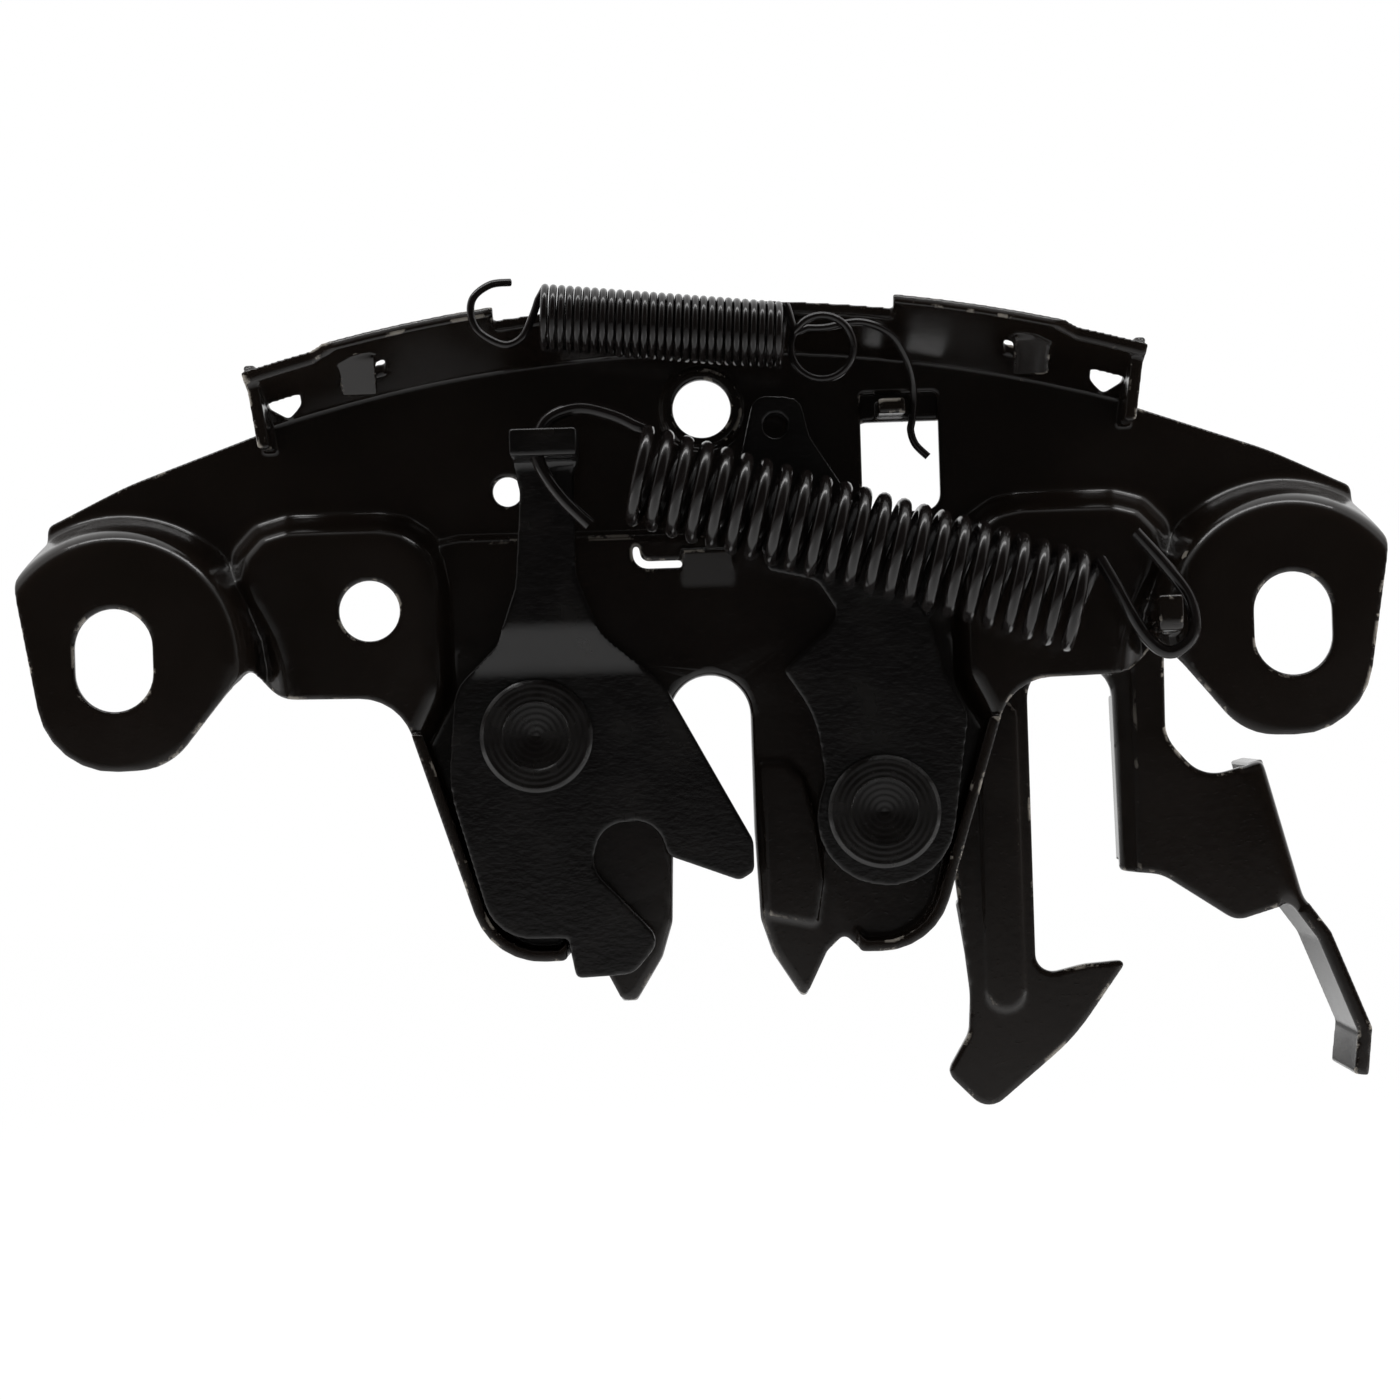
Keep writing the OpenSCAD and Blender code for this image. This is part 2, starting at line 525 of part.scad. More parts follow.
// Catch spring from the notch in the top flange, through a ring, to the catch's tab
catch_spring_y = -4.6;
catch_coil_r = (catch_coil_d - catch_wire) / 2;
catch_coil = coil([-26.9, catch_spring_y, 58.8], [16.2, catch_spring_y, 54.2], catch_coil_r, catch_turns,
    10, 0);
flange_hook = [[-32.7, -0.8, 65.7], [-36.2, -2.6, 65.2], [-39.2, -4.4, 62.8], [-39.7, -4.8, 59.5],
    [-38.2, -5, 56.4], [-34, -5.2, 54.1], [-30.8, -5.2, 55.2], [-28.9, -5, 58.6], [-27.6, -4.8, 62]];
ring_at = [22.9, 51.9];
ring_r = 5.6;
ring = [for (a = [150:-30:-210]) [ring_at.x + ring_r * cos(a), catch_spring_y - 1.4 + (150 - a) * 0.0085,
    ring_at.y + ring_r * sin(a)]];
tab_hook = [[20.4, -2.7, 55.6], [23.6, -2.3, 55.6], [29.9, -1.4, 56.5], [35.1, 0, 54.5], [38, 2.6, 50.4],
    [39.3, 5, 46.4], [tab_x[1] + 1.7, 6, 43], [tab_x[1] + 1.3, 6, 39.1], [tab_x[1] + 1, 6, 37.2],
    [tab_x[1] + 1.8, 6, 34.7], [tab_x[1] + 4, 6, 32.4]];

module catch_spring() color(spring_black)
    wire(concat(eased(flange_hook), catch_coil, ring, eased(tab_hook)), catch_wire / 2);

// Pawl spring: a flat wire form wound round the pawl's spacer, from the lip to the pawl
pawl_spring_y = floor_y - 0.15 - pawl_wire / 2;
pawl_spring_in = pivot_r + 1.4 + 0.15 + pawl_wire / 2;
pawl_spiral = [for (a = [0:15:450])
    let (r = pawl_spring_in + (pawl_wire + 0.3) * a / 360)
    [pawl_pivot.x + r * cos(a - 60), pawl_spring_y, pawl_pivot.y + r * sin(a - 60)]];
lip_leg = [[43, pawl_spring_y, -24], [45.4, pawl_spring_y, -20], [47.2, pawl_spring_y, -16.6]];

module pawl_spring() color(spring_black) wire(concat(pawl_spiral, lip_leg), pawl_wire / 2);

main_plate();
fork();
fork_rivet();
fork_washer();
pawl();
pawl_rivet();
pawl_washer();
pawl_spring();
safety_catch();
catch_rivet();
catch_washer();
fork_spring();
catch_spring();
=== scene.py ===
import json
import math
import bpy
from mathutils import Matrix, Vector


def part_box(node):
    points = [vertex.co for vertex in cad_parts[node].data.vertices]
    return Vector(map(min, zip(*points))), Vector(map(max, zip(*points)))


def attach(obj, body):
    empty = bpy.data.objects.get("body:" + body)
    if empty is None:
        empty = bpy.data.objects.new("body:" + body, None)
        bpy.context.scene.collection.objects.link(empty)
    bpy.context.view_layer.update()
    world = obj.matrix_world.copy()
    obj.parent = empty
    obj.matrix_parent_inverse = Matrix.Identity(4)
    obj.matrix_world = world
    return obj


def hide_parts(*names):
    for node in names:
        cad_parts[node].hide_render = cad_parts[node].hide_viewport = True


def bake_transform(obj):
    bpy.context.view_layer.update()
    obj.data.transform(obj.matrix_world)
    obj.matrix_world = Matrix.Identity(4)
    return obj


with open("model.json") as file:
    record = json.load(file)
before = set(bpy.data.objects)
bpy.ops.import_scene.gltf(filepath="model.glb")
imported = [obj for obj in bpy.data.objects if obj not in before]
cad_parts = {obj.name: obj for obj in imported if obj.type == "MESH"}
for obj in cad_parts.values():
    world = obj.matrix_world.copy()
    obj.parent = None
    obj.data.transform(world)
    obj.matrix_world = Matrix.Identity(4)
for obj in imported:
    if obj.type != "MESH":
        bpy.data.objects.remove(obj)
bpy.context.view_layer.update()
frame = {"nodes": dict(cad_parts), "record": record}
mm = 0.001  # the sizes below are in millimetres
slotOf = {part["node"]: part["material_slot"] for part in frame["record"]["subparts"]}
bodyOf = {n: body for body, nodes in frame["record"]["behaviour"]["bodies"].items() for n in nodes}
print("frame loaded:", len(frame["nodes"]), "nodes")


def deselectAll():
    if bpy.context.object and bpy.context.object.mode != "OBJECT":
        bpy.ops.object.mode_set(mode="OBJECT")
    bpy.ops.object.select_all(action="DESELECT")


def pick(piece):
    deselectAll()
    piece.select_set(True)
    bpy.context.view_layer.objects.active = piece


def inMetres(points):
    return [Vector(p) * mm for p in points]


# straight-on camera, rolled a little as the part lies in the picture
shot = {"lookAt": (-0.98, 0, -10.43), "distance": 700, "frameWidth": 252, "roll": 1.83, "sensor": 36}


def setCamera():
    deselectAll()
    x, y, z = inMetres([shot["lookAt"]])[0]
    turn = (math.radians(90), math.radians(shot["roll"]), 0)
    bpy.ops.object.camera_add(location=(x, y - shot["distance"] * mm, z), rotation=turn)
    camera = bpy.context.object
    camera.data.sensor_width = shot["sensor"]
    camera.data.lens = shot["sensor"] * shot["distance"] / shot["frameWidth"]
    bpy.context.scene.camera = camera


setCamera()
print("camera set")


def hexColour(code):
    channels = [int(code[i:i + 2], 16) / 255 for i in (1, 3, 5)]
    linear = [c / 12.92 if c <= 0.04045 else ((c + 0.055) / 1.055) ** 2.4 for c in channels]
    return (*linear, 1)


def addNode(tree, kind, inputs={}, **settings):
    node = tree.nodes.new(kind)
    for name, value in settings.items():
        setattr(node, name, value)
    for socket, value in inputs.items():
        if isinstance(value, bpy.types.NodeSocket):
            tree.links.new(value, node.inputs[socket])
        else:
            node.inputs[socket].default_value = value
    return node


def newMaterial(name):
    material = bpy.data.materials.new(name)
    material.use_nodes = True
    material.node_tree.nodes.clear()
    return material, material.node_tree


primerIor = 1.55  # baked epoxy, on every piece
colourA, colourB, mixedColour = 6, 7, 2  # a colour Mix node's sockets, whose names it uses more than once


def scaleFor(size):
    return 1 / (size * mm)  # for a pattern of this size


def finishCoat(tree, colour, roughness, height, relief):
    bump = addNode(tree, "ShaderNodeBump", {"Height": height, **relief})
    shader = addNode(tree, "ShaderNodeBsdfPrincipled", {
        "Base Color": colour, "Roughness": roughness, "IOR": primerIor, "Normal": bump.outputs["Normal"]})
    addNode(tree, "ShaderNodeOutputMaterial", {"Surface": shader.outputs["BSDF"]})


# dipped and baked epoxy primer on pressed steel: warm black, wet gloss, faint orange peel, fine dust nibs,
# and small chips to grey steel on its sharpest edges
ecoatLook = {
    "black": "#130f0c", "thin": "#1c1612", "bare": "#8d877e",
    "patch": {"Scale": scaleFor(22), "Detail": 3.0},
    "gloss": {"From Min": 0.3, "From Max": 0.75, "To Min": 0.13, "To Max": 0.22},
    "sharpEdge": {"From Min": 0.512, "From Max": 0.53},
    "chip": {"Scale": scaleFor(6), "Detail": 5.0, "Roughness": 0.65},
    "chipped": {"From Min": 0.56, "From Max": 0.6},
    "peel": {"Scale": scaleFor(1.8), "Detail": 1.5},
    "nib": {"Scale": scaleFor(0.7), "Detail": 0.0},
    "nibHeight": {"From Min": 0.72, "From Max": 0.8, "To Max": 0.5},
    "relief": {"Strength": 0.35, "Distance": 0.03 * mm},
}


def pressedEcoat():
    material, tree = newMaterial("pressed_steel_ecoat")
    place = addNode(tree, "ShaderNodeTexCoord").outputs["Object"]
    patch = addNode(tree, "ShaderNodeTexNoise", {"Vector": place, **ecoatLook["patch"]})
    film = addNode(tree, "ShaderNodeMix", {
        "Factor": patch.outputs["Fac"], colourA: hexColour(ecoatLook["black"]),
        colourB: hexColour(ecoatLook["thin"])}, data_type="RGBA")
    gloss = addNode(tree, "ShaderNodeMapRange", {"Value": patch.outputs["Fac"], **ecoatLook["gloss"]})
    point = addNode(tree, "ShaderNodeNewGeometry").outputs["Pointiness"]
    edge = addNode(tree, "ShaderNodeMapRange", {"Value": point, **ecoatLook["sharpEdge"]})
    chip = addNode(tree, "ShaderNodeTexNoise", {"Vector": place, **ecoatLook["chip"]})
    chipped = addNode(tree, "ShaderNodeMapRange", {"Value": chip.outputs["Fac"], **ecoatLook["chipped"]})
    worn = addNode(tree, "ShaderNodeMath", {
        0: edge.outputs["Result"], 1: chipped.outputs["Result"]}, operation="MULTIPLY")
    coat = addNode(tree, "ShaderNodeMix", {
        "Factor": worn.outputs["Value"], colourA: film.outputs[mixedColour],
        colourB: hexColour(ecoatLook["bare"])}, data_type="RGBA")
    peel = addNode(tree, "ShaderNodeTexNoise", {"Vector": place, **ecoatLook["peel"]})
    nib = addNode(tree, "ShaderNodeTexNoise", {"Vector": place, **ecoatLook["nib"]})
    nibHeight = addNode(tree, "ShaderNodeMapRange", {"Value": nib.outputs["Fac"], **ecoatLook["nibHeight"]})
    height = addNode(tree, "ShaderNodeMath", {
        0: peel.outputs["Fac"], 1: nibHeight.outputs["Result"]}, operation="ADD")
    finishCoat(tree, coat.outputs[mixedColour], gloss.outputs["Result"], height.outputs["Value"],
               ecoatLook["relief"])
    return material


# blanked and hardened thick steel under the same primer: the rolled grain shows through as a fine pebble
hardenedLook = {
    "black": "#0b0908", "rub": "#151210", "grainStretch": (0.6, 1.0, 1.0),
    "grain": {"Scale": scaleFor(1.1), "Detail": 2.0, "Roughness": 0.55},
    "cloud": {"Scale": scaleFor(9), "Detail": 4.0},
    "rubbed": {"From Min": 0.5, "From Max": 0.8},
    "gloss": {"From Min": 0.3, "From Max": 0.7, "To Min": 0.2, "To Max": 0.28},
    "relief": {"Strength": 0.5, "Distance": 0.09 * mm},
}


def hardenedEcoat():
    material, tree = newMaterial("hardened_steel_ecoat")
    place = addNode(tree, "ShaderNodeTexCoord").outputs["Object"]
    stretched = addNode(tree, "ShaderNodeMapping", {"Vector": place, "Scale": hardenedLook["grainStretch"]})
    grain = addNode(tree, "ShaderNodeTexNoise", {
        "Vector": stretched.outputs["Vector"], **hardenedLook["grain"]})
    cloud = addNode(tree, "ShaderNodeTexNoise", {"Vector": place, **hardenedLook["cloud"]})
    rubbed = addNode(tree, "ShaderNodeMapRange", {"Value": cloud.outputs["Fac"], **hardenedLook["rubbed"]})
    film = addNode(tree, "ShaderNodeMix", {
        "Factor": rubbed.outputs["Result"], colourA: hexColour(hardenedLook["black"]),
        colourB: hexColour(hardenedLook["rub"])}, data_type="RGBA")
    gloss = addNode(tree, "ShaderNodeMapRange", {"Value": cloud.outputs["Fac"], **hardenedLook["gloss"]})
    finishCoat(tree, film.outputs[mixedColour], gloss.outputs["Result"], grain.outputs["Fac"],
               hardenedLook["relief"])
    return material


# turned rivet steel under primer: tool rings about the rivet's own axis, drawn coarse enough to show
rivetLook = {
    "black": "#0b0908", "rub": "#151210", "ringPitch": 1.1,
    "cloud": {"Scale": scaleFor(4), "Detail": 4.0},
    "gloss": {"From Min": 0.3, "From Max": 0.7, "To Min": 0.2, "To Max": 0.3},
    "relief": {"Strength": 0.4, "Distance": 0.05 * mm},
}
waveRate = 20  # radians that a Wave texture runs through in one unit at scale 1


def turnedEcoat(nodeName):
    material, tree = newMaterial("turned_ecoat_" + nodeName)
    low, high = (Vector(corner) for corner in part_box(nodeName))
    middle = (low + high) / 2
    place = addNode(tree, "ShaderNodeTexCoord").outputs["Object"]
    centred = addNode(tree, "ShaderNodeMapping", {"Vector": place, "Location": (-middle.x, 0, -middle.z)})
    rings = addNode(tree, "ShaderNodeTexWave", {
        "Vector": centred.outputs["Vector"], "Scale": math.tau / waveRate * scaleFor(rivetLook["ringPitch"])},
        wave_type="RINGS", rings_direction="Y")
    cloud = addNode(tree, "ShaderNodeTexNoise", {"Vector": place, **rivetLook["cloud"]})
    film = addNode(tree, "ShaderNodeMix", {
        "Factor": cloud.outputs["Fac"], colourA: hexColour(rivetLook["black"]),
        colourB: hexColour(rivetLook["rub"])}, data_type="RGBA")
    gloss = addNode(tree, "ShaderNodeMapRange", {"Value": cloud.outputs["Fac"], **rivetLook["gloss"]})
    finishCoat(tree, film.outputs[mixedColour], gloss.outputs["Result"], rings.outputs["Fac"],
               rivetLook["relief"])
    return material


# drawn spring wire, dipped black: smooth and bright along the wire, with small pooled spots
springLook = {
    "black": "#0f0c0b", "pool": "#191514",
    "spot": {"Scale": scaleFor(3), "Detail": 2.0},
    "gloss": {"From Min": 0.3, "From Max": 0.7, "To Min": 0.14, "To Max": 0.22},
    "relief": {"Strength": 0.15, "Distance": 0.04 * mm},
}


def springBlack():
    material, tree = newMaterial("drawn_wire_black")
    place = addNode(tree, "ShaderNodeTexCoord").outputs["Object"]
    spot = addNode(tree, "ShaderNodeTexNoise", {"Vector": place, **springLook["spot"]})
    film = addNode(tree, "ShaderNodeMix", {
        "Factor": spot.outputs["Fac"], colourA: hexColour(springLook["black"]),
        colourB: hexColour(springLook["pool"])}, data_type="RGBA")
    gloss = addNode(tree, "ShaderNodeMapRange", {"Value": spot.outputs["Fac"], **springLook["gloss"]})
    finishCoat(tree, film.outputs[mixedColour], gloss.outputs["Result"], spot.outputs["Fac"],
               springLook["relief"])
    return material


finishes = {"black_ecoat": pressedEcoat(), "black_fork": hardenedEcoat(), "spring_wire": springBlack()}
for nodeName, node in frame["nodes"].items():
    node.data.materials.clear()
    turned = slotOf[nodeName] == "black_rivet"
    node.data.materials.append(turnedEcoat(nodeName) if turned else finishes[slotOf[nodeName]])
print("materials made:", len(bpy.data.materials))

mergeGap = 0.001 * mm  # points nearer than this are one


def weld(piece, turnOut=False):
    pick(piece)
    bpy.ops.object.mode_set(mode="EDIT")
    bpy.ops.mesh.select_all(action="SELECT")
    bpy.ops.mesh.remove_doubles(threshold=mergeGap)
    if turnOut:
        bpy.ops.mesh.normals_make_consistent(inside=False)
    bpy.ops.object.mode_set(mode="OBJECT")


def applied(piece, kind, **settings):
    pick(piece)
    step = piece.modifiers.new(kind.lower(), kind)
    for name, value in settings.items():
        setattr(step, name, value)
    bpy.ops.object.modifier_apply(modifier=step.name)


def dress(piece, nodeName):
    piece.data.materials.clear()
    piece.data.materials.append(finishes[slotOf[nodeName]])
    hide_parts(nodeName)


def mirrored(line):
    return [(-x, z) for x, z in line]


def arcLine(x, radius, degrees):
    turns = [math.radians(a) for a in degrees]
    return [(x + radius * math.cos(a), radius * math.sin(a)) for a in turns]


# places along the plate's pressed bends as (x, z), on the right-hand side where both sides have one
strikerSlot = [
    (18, -66), (15.4, -64.4), (10.9, -57.2), (8.9, -50.9), (8.2, -34), (8.2, -13.4), (6.4, -8.4), (0.8, -6),
    (-4.8, -8.4), (-6.6, -13.4), (-6.6, -34), (-7.3, -50.9), (-9.3, -57.2), (-13.8, -64.4), (-17, -66)]
padBend = [(85, 17), (79, 22.4), (56, 23), (48.6, 19), (47, 4)]
earBend = arcLine(x=106, radius=22, degrees=range(80, 171, 10))

# sheared and pressed skins: the CAD form with its edges broken and its folds rolled over
# a rolled fold has its line, how near to it a point has to be, and the depths between which it lies
plateSkin = {
    "piece": "pressed_plate", "node": "main_plate", "voxel": 0.34, "rounds": 7, "keep": 0.2, "rollRounds": 60,
    "rolled": [{"near": 1.6, "depth": (9, 11.6), "line": strikerSlot},
               {"near": 5, "depth": (4.6, 14.6), "line": padBend},
               {"near": 5, "depth": (4.6, 14.6), "line": mirrored(padBend)},
               {"near": 4, "depth": (-2.5, 14.6), "line": earBend},
               {"near": 4, "depth": (-2.5, 14.6), "line": mirrored(earBend)}],
}
forkSkin = {"piece": "striker_fork", "node": "fork", "voxel": 0.36, "rounds": 5, "keep": 0.35}
pawlSkin = {"piece": "locking_pawl", "node": "pawl", "voxel": 0.36, "rounds": 5, "keep": 0.35}
# the catch's finger fold is rolled, and its handle's inner edge leans back
catchSkin = {
    "piece": "hook_catch", "node": "safety_catch", "voxel": 0.36, "rounds": 5, "keep": 0.3, "rollRounds": 120,
    "rolled": [{"near": 3, "depth": (14, 17.5), "line": [(101, -26.4), (107, -50)]}],
    "leaningEdge": {"fromX": 73, "toX": 78.8, "topZ": -4, "fullZ": -8, "bottomZ": -47, "slope": 1.0},
}
smoothShare = 0.5  # how far one round of smoothing moves a point


def nearLine(x, z, line, near):
    for (x0, z0), (x1, z1) in zip(line, line[1:]):
        if min(x0, x1) - near < x < max(x0, x1) + near and min(z0, z1) - near < z < max(z0, z1) + near:
            leg = Vector((x1 - x0, z1 - z0))
            reach = Vector((x - x0, z - z0))
            share = min(1, max(0, reach.dot(leg) / leg.length_squared))
            if (reach - share * leg).length < near:
                return True
    return False


def rollFolds(piece, skin):
    group = piece.vertex_groups.new(name="rolled")
    for fold in skin["rolled"]:
        front, back = fold["depth"]
        inside = [v.index for v in piece.data.vertices if front < v.co.y / mm < back
                  and nearLine(v.co.x / mm, v.co.z / mm, fold["line"], fold["near"])]
        group.add(inside, 1, "ADD")
    applied(piece, "SMOOTH", factor=smoothShare, iterations=skin["rollRounds"], vertex_group=group.name)
    piece.vertex_groups.clear()


def leanEdge(piece, edge):
    for v in piece.data.vertices:
        x, z = v.co.x / mm, v.co.z / mm
        if edge["fromX"] < x < edge["toX"] and edge["bottomZ"] < z < edge["topZ"]:
            share = min(1, (edge["topZ"] - z) / (edge["topZ"] - edge["fullZ"]))
            v.co.y += share * edge["slope"] * (edge["toX"] - x) * mm


def makeSkin(skin):
    nodeName = skin["node"]
    piece = bpy.data.objects.new(skin["piece"], frame["nodes"][nodeName].data.copy())
    bpy.context.scene.collection.objects.link(piece)
    weld(piece)
    applied(piece, "REMESH", mode="VOXEL", voxel_size=skin["voxel"] * mm)
    if "leaningEdge" in skin:
        leanEdge(piece, skin["leaningEdge"])
    applied(piece, "SMOOTH", factor=smoothShare, iterations=skin["rounds"])
    if "rolled" in skin:
        rollFolds(piece, skin)
    applied(piece, "DECIMATE", ratio=skin["keep"])
    bpy.ops.object.shade_smooth()
    dress(piece, nodeName)
    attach(piece, bodyOf[nodeName])
    print(piece.name, len(piece.data.polygons), "faces")


for skin in (plateSkin, forkSkin, pawlSkin, catchSkin):
    makeSkin(skin)


def atDepth(points, y):
    return inMetres([(x, y, z) for x, z in points])


# a smooth curve through the points, with this many steps from one to the next
def easedCurve(points, steps=8):
    curve = []
    for i in range(len(points) - 1):
        p, q, s = points[max(i - 1, 0)], points[i], points[i + 1]
        e = points[min(i + 2, len(points) - 1)]
        for k in range(steps):
            f = k / steps
            curve.append(0.5 * (2 * q + f * (s - p) + f * f * (2 * p - 5 * q + 4 * s - e)
                                + f ** 3 * (3 * q - p - 3 * s + e)))
    return curve + [points[-1]]


def coilTurns(start, end, spring):
    along = (end - start).normalized()
    up = (Vector((0, 0, 1)) - along.z * along).normalized()
    side = along.cross(up)
    radius = spring["coilRadius"] * mm
    last = spring["turns"] * spring["turnSteps"]
    curve = []
    for i in range(last + 1):
        angle = math.tau * i / spring["turnSteps"]
        centre = start + (end - start) * i / last
        curve.append(centre + radius * (math.cos(angle) * up + math.sin(angle) * side))
    return curve


# the curve's bevel resolution, and the angle in degrees past which an edge stays sharp
wireMesh = {"rounding": 4, "crease": 50}


def bendWire(pieceName, points, thickness):
    deselectAll()
    curve = bpy.data.curves.new(pieceName, "CURVE")
    curve.dimensions = "3D"
    curve.bevel_depth = thickness * mm / 2
    curve.bevel_resolution = wireMesh["rounding"]
    curve.use_fill_caps = True
    spline = curve.splines.new("POLY")
    spline.points.add(len(points) - 1)
    for spot, p in zip(spline.points, points):
        spot.co = (*p, 1)
    piece = bpy.data.objects.new(pieceName, curve)
    bpy.context.scene.collection.objects.link(piece)
    pick(piece)
    bpy.ops.object.convert(target="MESH")
    piece = bpy.context.object
    weld(piece, turnOut=True)
    bpy.ops.object.shade_smooth_by_angle(angle=math.radians(wireMesh["crease"]))
    print(pieceName, len(piece.data.polygons), "faces")
    return piece


# long open tension spring from the fork's tab to the anchor by the right ear
forkSpring = {
    "wire": 2.4, "coilRadius": 8.05, "turns": 23, "turnSteps": 36, "depth": -7.5,
    "from": (-11.2, 30.2), "to": (68.8, 4.3),
    "tabHook": [(-19.6, 21.4), (-24.4, 26.4), (-28, 32), (-28.4, 36.2), (-26.4, 40.4), (-21, 42.2),
                (-15, 40.8), (-11, 38.8)],
    "anchorHook": [(74, 7), (78.6, -1.4), (83, -4.6), (87.2, -1.6), (86.8, 4.6), (83, 10.4), (77.4, 17)],
}


def makeForkSpring():
    depth = forkSpring["depth"]
    start, end = atDepth([forkSpring["from"], forkSpring["to"]], depth)
    tabHook = easedCurve(atDepth(forkSpring["tabHook"], depth))
    anchorHook = easedCurve(atDepth(forkSpring["anchorHook"], depth))
    coil = coilTurns(start, end, forkSpring)
    piece = bendWire("long_spring", tabHook + coil + anchorHook, forkSpring["wire"])
    dress(piece, "fork_spring")
    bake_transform(piece)


# close-wound return spring from the notch in the top flange, through a ring, to the catch's tab
catchSpring = {
    "wire": 1.4, "coilRadius": 5.4, "turns": 29, "turnSteps": 28,
    "from": (-26.9, -4.6, 58.8), "to": (16.2, -4.6, 54.2),
    "flangeHook": [(-32.7, -0.8, 65.7), (-36.2, -2.6, 65.2), (-39.2, -4.4, 62.8), (-39.7, -4.8, 59.5),
                   (-38.2, -5, 56.4), (-34, -5.2, 54.1), (-30.8, -5.2, 55.2), (-28.9, -5, 58.6),
                   (-27.6, -4.8, 62)],
    "leadSteps": 6,
    "ring": {"at": (22.9, 51.9), "radius": 5.6, "depth": (-6, -2.94), "from": 150, "steps": 36},
    "tabHook": [(20.4, -2.7, 55.6), (23.6, -2.3, 55.6), (29.9, -1.4, 56.5), (35.1, 0, 54.5), (38, 2.6, 50.4),
                (39.3, 5, 46.4), (39.5, 6, 43), (39.1, 6, 39.1), (38.8, 6, 37.2), (39.6, 6, 34.7),
                (41.8, 6, 32.4)],
}


def ringTurn(ring):
    x, z = ring["at"]
    front, back = ring["depth"]
    curve = []
    for k in range(ring["steps"] + 1):
        share = k / ring["steps"]
        angle = math.radians(ring["from"]) - math.tau * share
        curve.append((x + ring["radius"] * math.cos(angle), front + (back - front) * share,
                      z + ring["radius"] * math.sin(angle)))
    return inMetres(curve)


def makeCatchSpring():
    start, end = inMetres([catchSpring["from"], catchSpring["to"]])
    flangeHook = easedCurve(inMetres(catchSpring["flangeHook"]))
    tabHook = easedCurve(inMetres(catchSpring["tabHook"]))
    coil = coilTurns(start, end, catchSpring)
    ring = ringTurn(catchSpring["ring"])
    steps = catchSpring["leadSteps"]
    lead = easedCurve([*coil[-2:], *ring[:2]], steps)[steps:2 * steps + 1]  # only from the coil to the ring
    route = flangeHook + coil[:-1] + lead + ring[1:] + tabHook
    piece = bendWire("return_spring", route, catchSpring["wire"])
    dress(piece, "catch_spring")
    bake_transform(piece)


makeForkSpring()
makeCatchSpring()
print("springs wound")


# white all round for the eye; for the gloss white behind the part, dark in front, lighter above than below
studio = {
    "fill": 0.22, "seen": 1.0, "below": 0.15, "above": 0.8, "rise": (-0.3, 0.8),
    "front": 0.012, "frontEdge": (-0.55, -0.1), "behind": 0.95, "behindEdge": (0.02, 0.42),
}


def setWorld():
    world = bpy.data.worlds.new("white_tent")
    bpy.context.scene.world = world
    world.use_nodes = True
    tree = world.node_tree
    tree.nodes.clear()
    ray = addNode(tree, "ShaderNodeLightPath")
    toward = addNode(tree, "ShaderNodeTexCoord").outputs["Generated"]
    split = addNode(tree, "ShaderNodeSeparateXYZ", {"Vector": toward})
    height = addNode(tree, "ShaderNodeMapRange", {
        "Value": split.outputs["Z"], "From Min": studio["rise"][0], "From Max": studio["rise"][1],
        "To Min": studio["below"], "To Max": studio["above"]})
    nearSide = addNode(tree, "ShaderNodeMapRange", {
        "Value": split.outputs["Y"], "From Min": studio["frontEdge"][0], "From Max": studio["frontEdge"][1],
        "To Min": studio["front"], "To Max": height.outputs["Result"]}, interpolation_type="SMOOTHSTEP")
    tent = addNode(tree, "ShaderNodeMapRange", {
        "Value": split.outputs["Y"], "From Min": studio["behindEdge"][0], "From Max": studio["behindEdge"][1],
        "To Min": nearSide.outputs["Result"], "To Max": studio["behind"]}, interpolation_type="SMOOTHSTEP")
    glossy = addNode(tree, "ShaderNodeMix", {
        "Factor": ray.outputs["Is Glossy Ray"], "A": studio["fill"], "B": tent.outputs["Result"]},
        data_type="FLOAT")
    seen = addNode(tree, "ShaderNodeMix", {
        "Factor": ray.outputs["Is Camera Ray"], "A": glossy.outputs["Result"], "B": studio["seen"]},
        data_type="FLOAT")
    sky = addNode(tree, "ShaderNodeBackground", {"Color": (1, 1, 1, 1), "Strength": seen.outputs["Result"]})
    addNode(tree, "ShaderNodeOutputWorld", {"Surface": sky.outputs["Background"]})


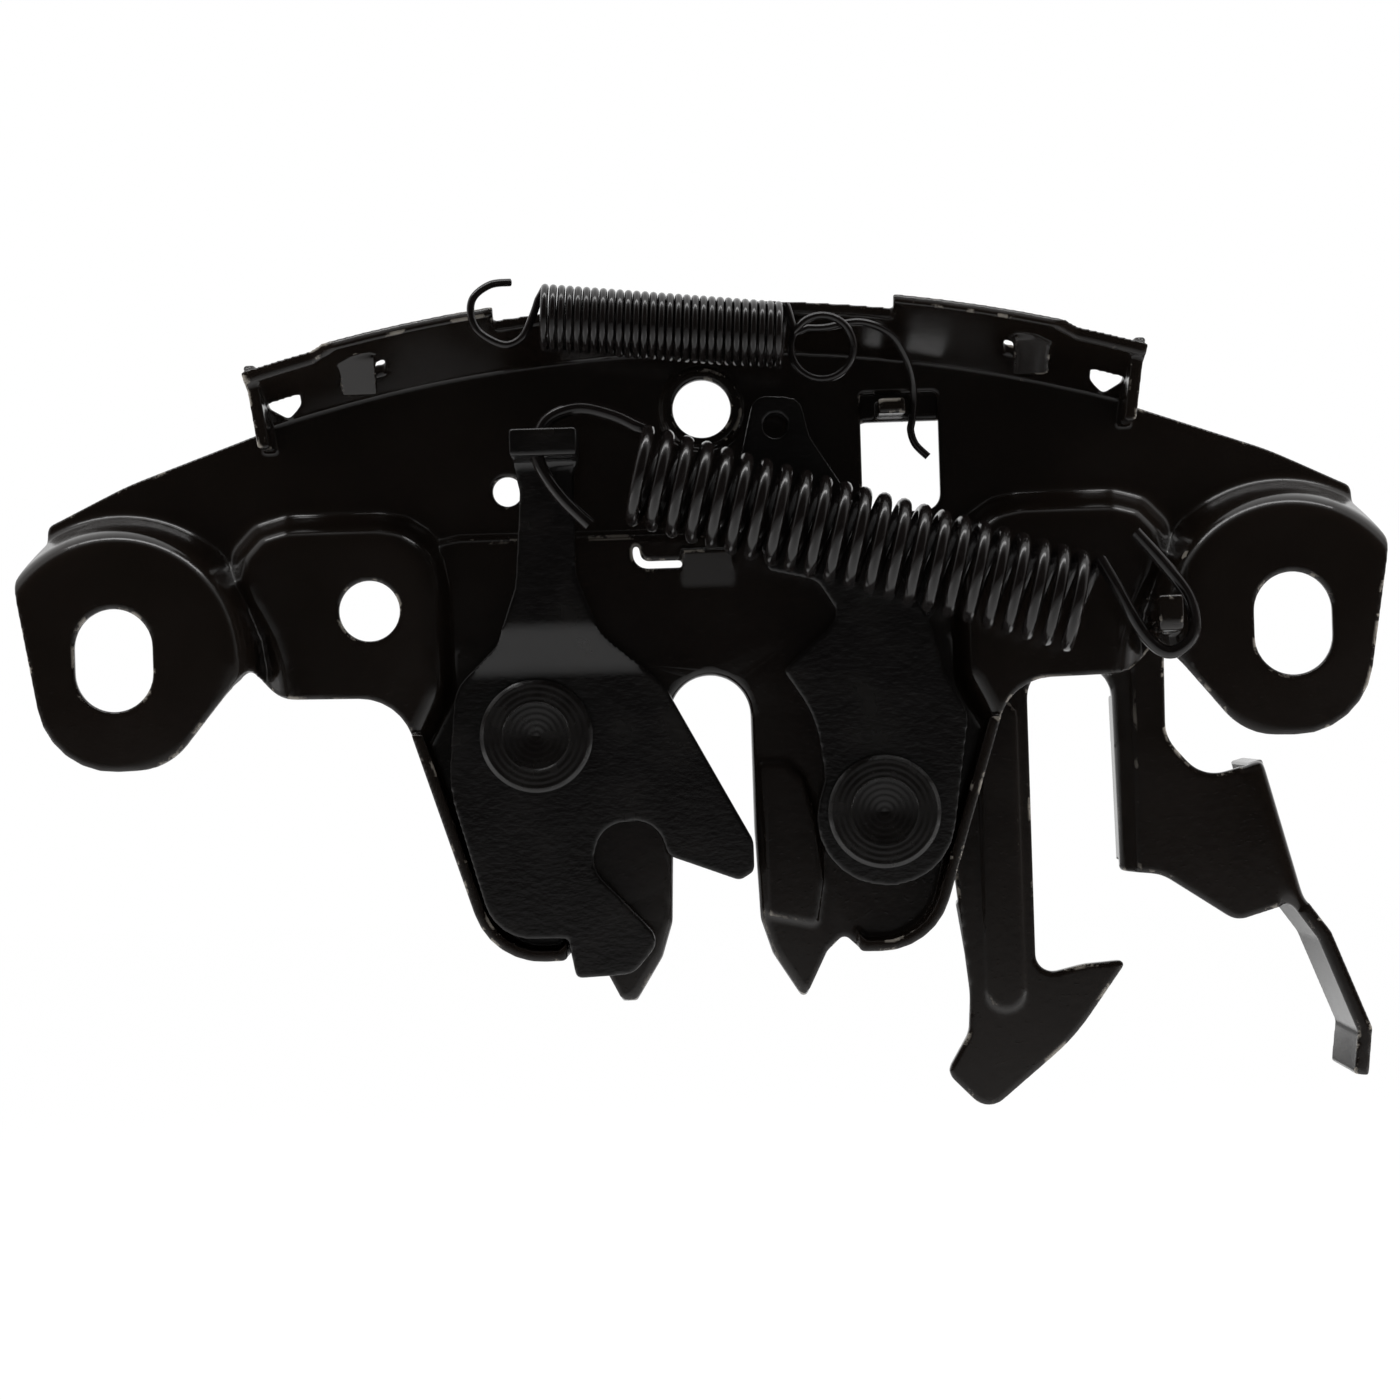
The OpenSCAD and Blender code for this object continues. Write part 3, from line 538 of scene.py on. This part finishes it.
# pale card well below the part, which the eye sees white but for the part's faint shadow
floorCard = {"drop": 160, "size": 4000, "pale": 0.7, "glowShare": 0.975, "glow": 1.02}


def layFloor():
    deselectAll()
    low = -floorCard["drop"] * mm
    bpy.ops.mesh.primitive_plane_add(size=floorCard["size"] * mm, location=(0, 0, low))
    floor = bpy.context.object
    floor.name = "pale_floor"
    material, tree = newMaterial("pale_card")
    ray = addNode(tree, "ShaderNodeLightPath")
    share = addNode(tree, "ShaderNodeMath", {
        0: ray.outputs["Is Camera Ray"], 1: floorCard["glowShare"]}, operation="MULTIPLY")
    pale = floorCard["pale"]
    card = addNode(tree, "ShaderNodeBsdfDiffuse", {"Color": (pale, pale, pale, 1)})
    glow = addNode(tree, "ShaderNodeEmission", {"Color": (1, 1, 1, 1), "Strength": floorCard["glow"]})
    mix = addNode(tree, "ShaderNodeMixShader", {
        0: share.outputs["Value"], 1: card.outputs["BSDF"], 2: glow.outputs["Emission"]})
    addNode(tree, "ShaderNodeOutputMaterial", {"Surface": mix.outputs["Shader"]})
    floor.data.materials.append(material)


# soft boxes turned to the part: their place, size, power in watts, and whether the gloss shows them
softBoxes = {
    "top_strip": {"at": (0, -60, 520), "size": (700, 70), "power": 0.9, "shown": True},
    "left_box": {"at": (-520, -60, 120), "size": (200, 500), "power": 2, "shown": False},
    "right_box": {"at": (520, -60, 120), "size": (200, 500), "power": 2, "shown": False},
    "back_box": {"at": (0, 500, 300), "size": (500, 300), "power": 3, "shown": False},
}


def hangLights():
    for name, box in softBoxes.items():
        deselectAll()
        at = inMetres([box["at"]])[0]
        turn = (-at).to_track_quat("-Z", "Y").to_euler()
        bpy.ops.object.light_add(type="AREA", location=at, rotation=turn)
        lamp = bpy.context.object
        lamp.name = name
        lamp.data.shape = "RECTANGLE"
        lamp.data.size, lamp.data.size_y = (side * mm for side in box["size"])
        lamp.data.energy = box["power"]
        lamp.visible_glossy = box["shown"]


setWorld()
layFloor()
hangLights()
bpy.context.scene.view_settings.view_transform = "Standard"
print("studio lit")
